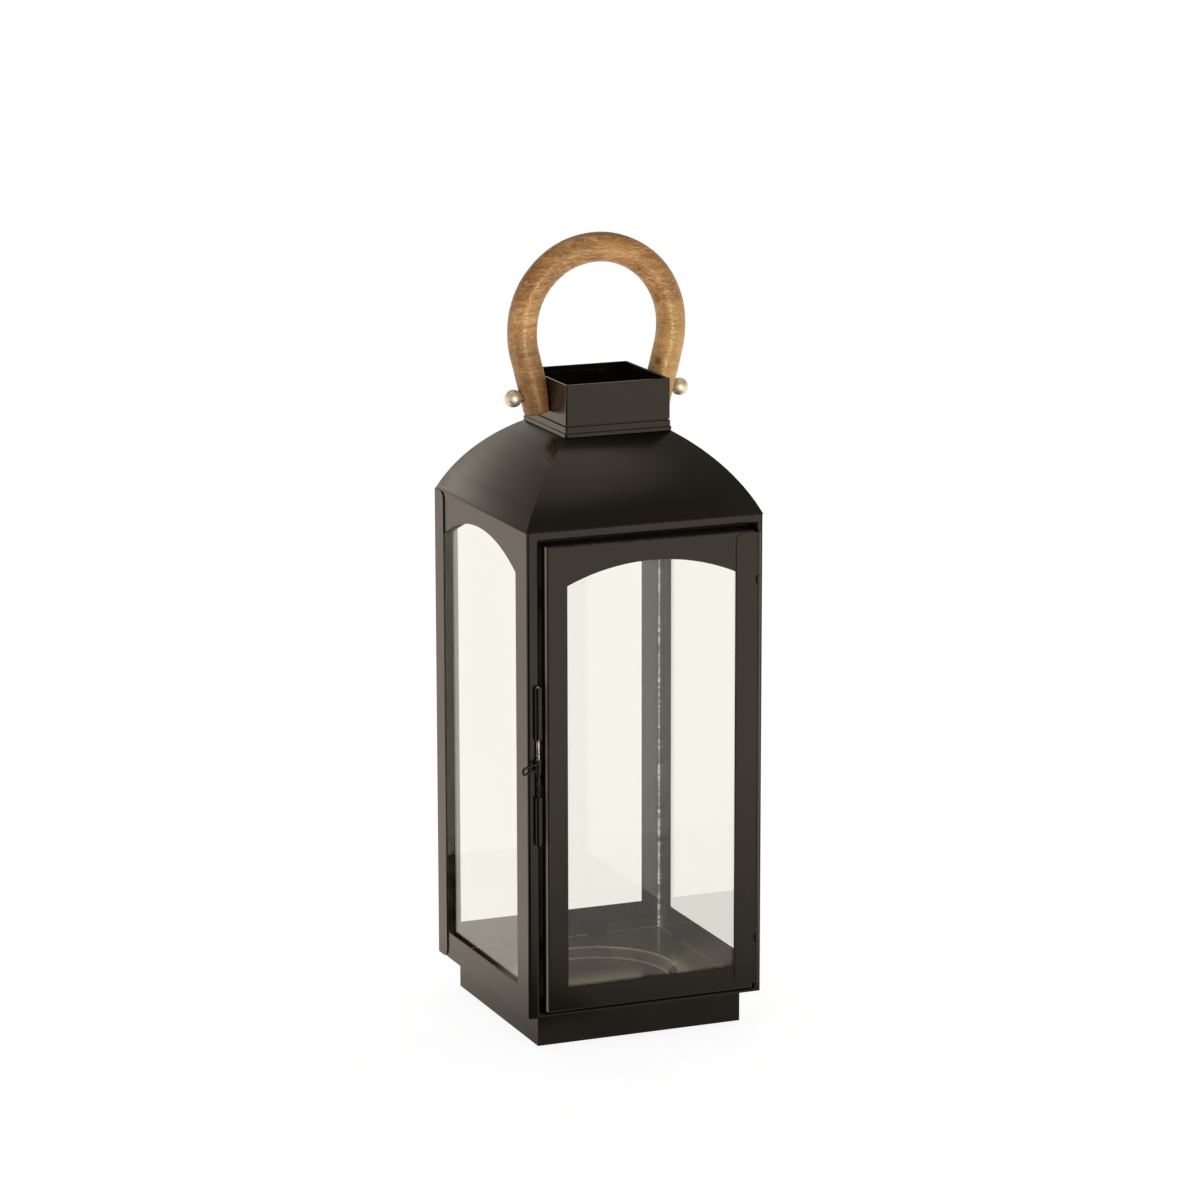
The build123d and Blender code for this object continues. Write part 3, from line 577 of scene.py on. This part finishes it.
def cut(obj, cutters):
    """Takes the cutters' shapes out of obj, and removes them."""
    for cutter in cutters:
        modifier = obj.modifiers.new("cut", "BOOLEAN")
        modifier.object = cutter
        modifier.operation = "DIFFERENCE"
        modifier.solver = "EXACT"
    graph = bpy.context.evaluated_depsgraph_get()
    mesh = bpy.data.meshes.new_from_object(obj.evaluated_get(graph))
    obj.modifiers.clear()
    obj.data = mesh
    for cutter in cutters:
        bpy.data.objects.remove(cutter)


def shade_by_angle(mesh, degrees):
    """Smooth shading, with sharp edges where faces meet at more than this angle."""
    bm = bmesh.new()
    bm.from_mesh(mesh)
    for face in bm.faces:
        face.smooth = True
    limit = math.radians(degrees)
    for edge in bm.edges:
        edge.smooth = edge.calc_face_angle(math.pi) < limit
    bm.to_mesh(mesh)
    bm.free()


def make_handle(material):
    pivot = Vector(JOINTS["handle_swing"]["pos_m"])
    low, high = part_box("wooden_handle")
    path = end_rings(bow_path(high.z))
    handle = as_object(tube_along(path, rounded_end), "turned_wood_handle")
    beyond = high.x - low.x
    wide = 2 * WOOD_RADIUS
    cutters = [
        cutter_box((-LEG_FLAT, -wide, pivot.z - LEG_FLAT_DROP), (LEG_FLAT, wide, pivot.z + LEG_FLAT_RISE)),
        cutter_rod(-beyond, beyond, pivot.z, BORE_RADIUS),
        cutter_rod(-beyond, -SEAT_X, pivot.z, SEAT_RADIUS),
        cutter_rod(SEAT_X, beyond, pivot.z, SEAT_RADIUS),
    ]
    cut(handle, cutters)
    shade_by_angle(handle.data, CREASE)
    bevel = handle.modifiers.new("eased_edges", "BEVEL")
    bevel.width = EDGE_EASED
    bevel.segments = 2
    bevel.limit_method = "ANGLE"
    bevel.angle_limit = EDGE_EASED_FROM
    handle.data.materials.clear()
    handle.data.materials.append(material)
    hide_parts("wooden_handle")
    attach(handle, "handle")
    return handle


def dress(nodes, material):
    for name in nodes:
        obj = frame["nodes"][name]
        obj.data.materials.clear()
        obj.data.materials.append(material)


def make_materials():
    door_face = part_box("door_frame")[0].y
    fades = [door_face + depth for depth in SIDE_HIGHLIGHT_DEPTHS]
    # the tray, with painted highlight lines round its recess
    dress(["floor_tray"], powder_coat("tray_coat", TRAY_COAT, TRAY_WORN, TRAY_ROUGHNESS, TRAY_RING_HIGHLIGHTS,
                                      TRAY_METAL))
    dress(COATED, powder_coat("powder_coat", COAT, COAT_WORN, COAT_ROUGHNESS))
    # the door, with a painted highlight on its left-facing sides
    dress(["door_frame"], powder_coat("door_coat", COAT, COAT_WORN, COAT_ROUGHNESS,
                                      painted_side_highlight=(DOOR_SIDE_HIGHLIGHT, *fades)))
    dress(["latch_loop", "latch_bracket"], powder_coat("coated_wire", WIRE_COAT, WIRE_WORN, WIRE_ROUGHNESS))
    dress(["left_ball_knob", "right_ball_knob"], bare_metal("satin_nickel", NICKEL, 0.50, BALL_SCRATCHES))
    dress(["latch_spindle"], spotted_spindle("spotted_spindle", JOINTS["latch_turn"]["pos_m"][2]))
    dress(["handle_bolts", "handle_bolt_washers"], bare_metal("plain_steel", STEEL, 0.30, PIN_SCRATCHES))
    dress(["hinge_pins"], bare_metal("dulled_steel", DULLED_STEEL, 0.38, PIN_SCRATCHES))
    dress(["handle_spacers"], nylon("nylon"))
    for node in ("left_glass", "right_glass"):
        dress([node], pane(node, "X", "Y"))
    for node in ("back_glass", "door_glass"):
        dress([node], pane(node, "Y", "X"))


def ease_edges(names, width):
    """Small rounded edges on folded and cut sheet metal."""
    for name in names:
        obj = frame["nodes"][name]
        weld = obj.modifiers.new("weld", "WELD")
        weld.merge_threshold = WELD_REACH
        bevel = obj.modifiers.new("edges", "BEVEL")
        bevel.width = width
        bevel.segments = 2
        bevel.limit_method = "ANGLE"
        bevel.angle_limit = EASED_FROM
        bevel.harden_normals = True


def ease_sheet_metal():
    ease_edges(["plinth", "base_plate", "floor_tray", "back_wall", "left_wall", "right_wall", "roof",
                "chimney_collar", "chimney"], EASED)
    ease_edges(["front_frame"], FRAME_EASED)
    ease_edges(["door_frame"], DOOR_EASED)


def make_camera():
    right = Vector((math.cos(CAMERA_AZIMUTH), math.sin(CAMERA_AZIMUTH), 0))
    back = Vector((math.sin(CAMERA_AZIMUTH) * math.cos(CAMERA_ELEVATION),
                   -math.cos(CAMERA_AZIMUTH) * math.cos(CAMERA_ELEVATION), math.sin(CAMERA_ELEVATION)))
    data = bpy.data.cameras.new("camera")
    camera = bpy.data.objects.new("camera", data)
    bpy.context.scene.collection.objects.link(camera)
    camera.location = CAMERA_TARGET + right * CAMERA_SIDESTEP + back * CAMERA_DISTANCE
    camera.rotation_mode = "QUATERNION"
    aim = (-back).to_track_quat("-Z", "Y")
    camera.rotation_quaternion = aim @ Quaternion((0, 0, 1), CAMERA_ROLL)
    data.lens = CAMERA_LENS
    data.sensor_width = CAMERA_SENSOR
    data.clip_start, data.clip_end = CAMERA_CLIP
    bpy.context.scene.camera = camera


def make_sky():
    """Light all round: bright near the horizon, dimmer higher up and in front of the door."""
    world = bpy.data.worlds.new("studio")
    bpy.context.scene.world = world
    world.use_nodes = True
    tree = world.node_tree
    background = tree.nodes["Background"]
    background.inputs["Color"].default_value = STUDIO_WARMTH
    way = tree.nodes.new("ShaderNodeSeparateXYZ")
    tree.links.new(tree.nodes.new("ShaderNodeTexCoord").outputs["Generated"], way.inputs["Vector"])
    height = tree.nodes.new("ShaderNodeValToRGB")
    height.color_ramp.interpolation = "EASE"
    tree.links.new(way.outputs["Z"], height.inputs["Fac"])
    while len(height.color_ramp.elements) < len(STUDIO_HEIGHTS):
        height.color_ramp.elements.new(0.5)
    for element, (at, value) in zip(height.color_ramp.elements, STUDIO_HEIGHTS):
        element.position = at
        element.color = (value, value, value, 1.0)
    front = tree.nodes.new("ShaderNodeMapRange")
    tree.links.new(way.outputs["Y"], front.inputs["Value"])
    for socket, value in zip(front.inputs[1:5], (*STUDIO_FRONT_REACH, STUDIO_FRONT, 1.0)):
        socket.default_value = value
    strength = tree.nodes.new("ShaderNodeMath")
    strength.operation = "MULTIPLY"
    tree.links.new(height.outputs["Color"], strength.inputs[0])
    tree.links.new(front.outputs["Result"], strength.inputs[1])
    tree.links.new(strength.outputs["Value"], background.inputs["Strength"])


def make_floor():
    bm = bmesh.new()
    bmesh.ops.create_grid(bm, x_segments=1, y_segments=1, size=FLOOR_HALF)
    floor = as_object(bm, "floor")
    floor.location.z = cad_low.z - FLOOR_GAP
    floor.data.materials.append(pale_floor("pale_floor"))


def pale_floor(name):
    """White to look at, and in reflections warm and a little shaded close to the lantern."""
    g = Graph(name)
    plain = g.node("BsdfPrincipled", {"Base Color": FLOOR_PAINT, "Roughness": FLOOR_ROUGHNESS,
                                      "Emission Color": FLOOR_WHITE, "Emission Strength": FLOOR_GLOW})
    reach = g.from_axis()
    before, behind = [g.ramp(reach, *[(at, (value, value, value)) for at, value in stops])
                      for stops in (FLOOR_BEFORE, FLOOR_BEHIND)]
    side = g.span(g.parts(g.place())["Y"], *FLOOR_TURN, 0.0, 1.0)
    warmth = g.mix(side, WARMTH_BEFORE, WARMTH_BEHIND)
    glow = g.node("Emission", {"Color": g.mix(1.0, warmth, g.mix(side, before, behind), "MULTIPLY")})
    path = g.node("LightPath").outputs
    direct = g.span(path["Is Transmission Ray"], 0.0, 1.0, 1.0, 0.0)
    mirrored = g.math("MULTIPLY", path["Is Glossy Ray"], direct)
    return g.finish(g.join(mirrored, plain, glow))


def sector_card(name, near, far, foot, head):
    """A dark studio card seen only in reflections: part of a ring on the floor, or of an upright screen.

    near and far are its distances from the lantern, and foot and head its lowest and highest points."""
    start, end = CARD_BEARINGS
    bm = bmesh.new()
    rows = []
    for i in range(CARD_STEPS + 1):
        bearing = math.radians(start + (end - start) * i / CARD_STEPS)
        way = Vector((-math.sin(bearing), -math.cos(bearing), 0))
        low, high = way * near + Vector((0, 0, foot)), way * far + Vector((0, 0, head))
        rows.append([bm.verts.new(low), bm.verts.new(high)])
    for a, b in zip(rows, rows[1:]):
        bm.faces.new((a[0], b[0], b[1], a[1]))
    card = as_object(bm, name)
    g = Graph(name)
    card.data.materials.append(g.finish(g.node("BsdfDiffuse", {"Color": CARD_BLACK})))
    card.visible_camera = False
    card.visible_diffuse = False
    card.visible_transmission = False
    card.visible_volume_scatter = False
    card.visible_shadow = False


def make_strip_light(handle):
    """A soft upright light in front, for the wooden handle and its two balls only."""
    data = bpy.data.lights.new("strip", "AREA")
    data.shape = "RECTANGLE"
    data.size, data.size_y = STRIP_SIZE
    data.energy = STRIP_POWER
    data.color = STRIP_COLOUR
    light = bpy.data.objects.new("strip", data)
    bpy.context.scene.collection.objects.link(light)
    light.location = STRIP_PLACE
    light.rotation_mode = "QUATERNION"
    light.rotation_quaternion = (Vector(STRIP_AIM) - Vector(STRIP_PLACE)).to_track_quat("-Z", "Y")
    light.visible_camera = False
    light.visible_transmission = False
    handle_parts = bpy.data.collections.new("handle_parts")
    for piece in (handle, frame["nodes"]["left_ball_knob"], frame["nodes"]["right_ball_knob"]):
        handle_parts.objects.link(piece)
    light.light_linking.receiver_collection = handle_parts


def set_colours():
    view = bpy.context.scene.view_settings
    view.view_transform = "Standard"
    view.look = "None"


make_materials()
ease_sheet_metal()
handle = make_handle(mango_wood("mango_wood"))
make_camera()
make_sky()
make_floor()
sector_card("screen_left", CARD_FAR, CARD_FAR, 0.0, CARD_TOP)
sector_card("floor_left", CARD_NEAR, CARD_FAR, CARD_LIFT, CARD_LIFT)
make_strip_light(handle)
set_colours()
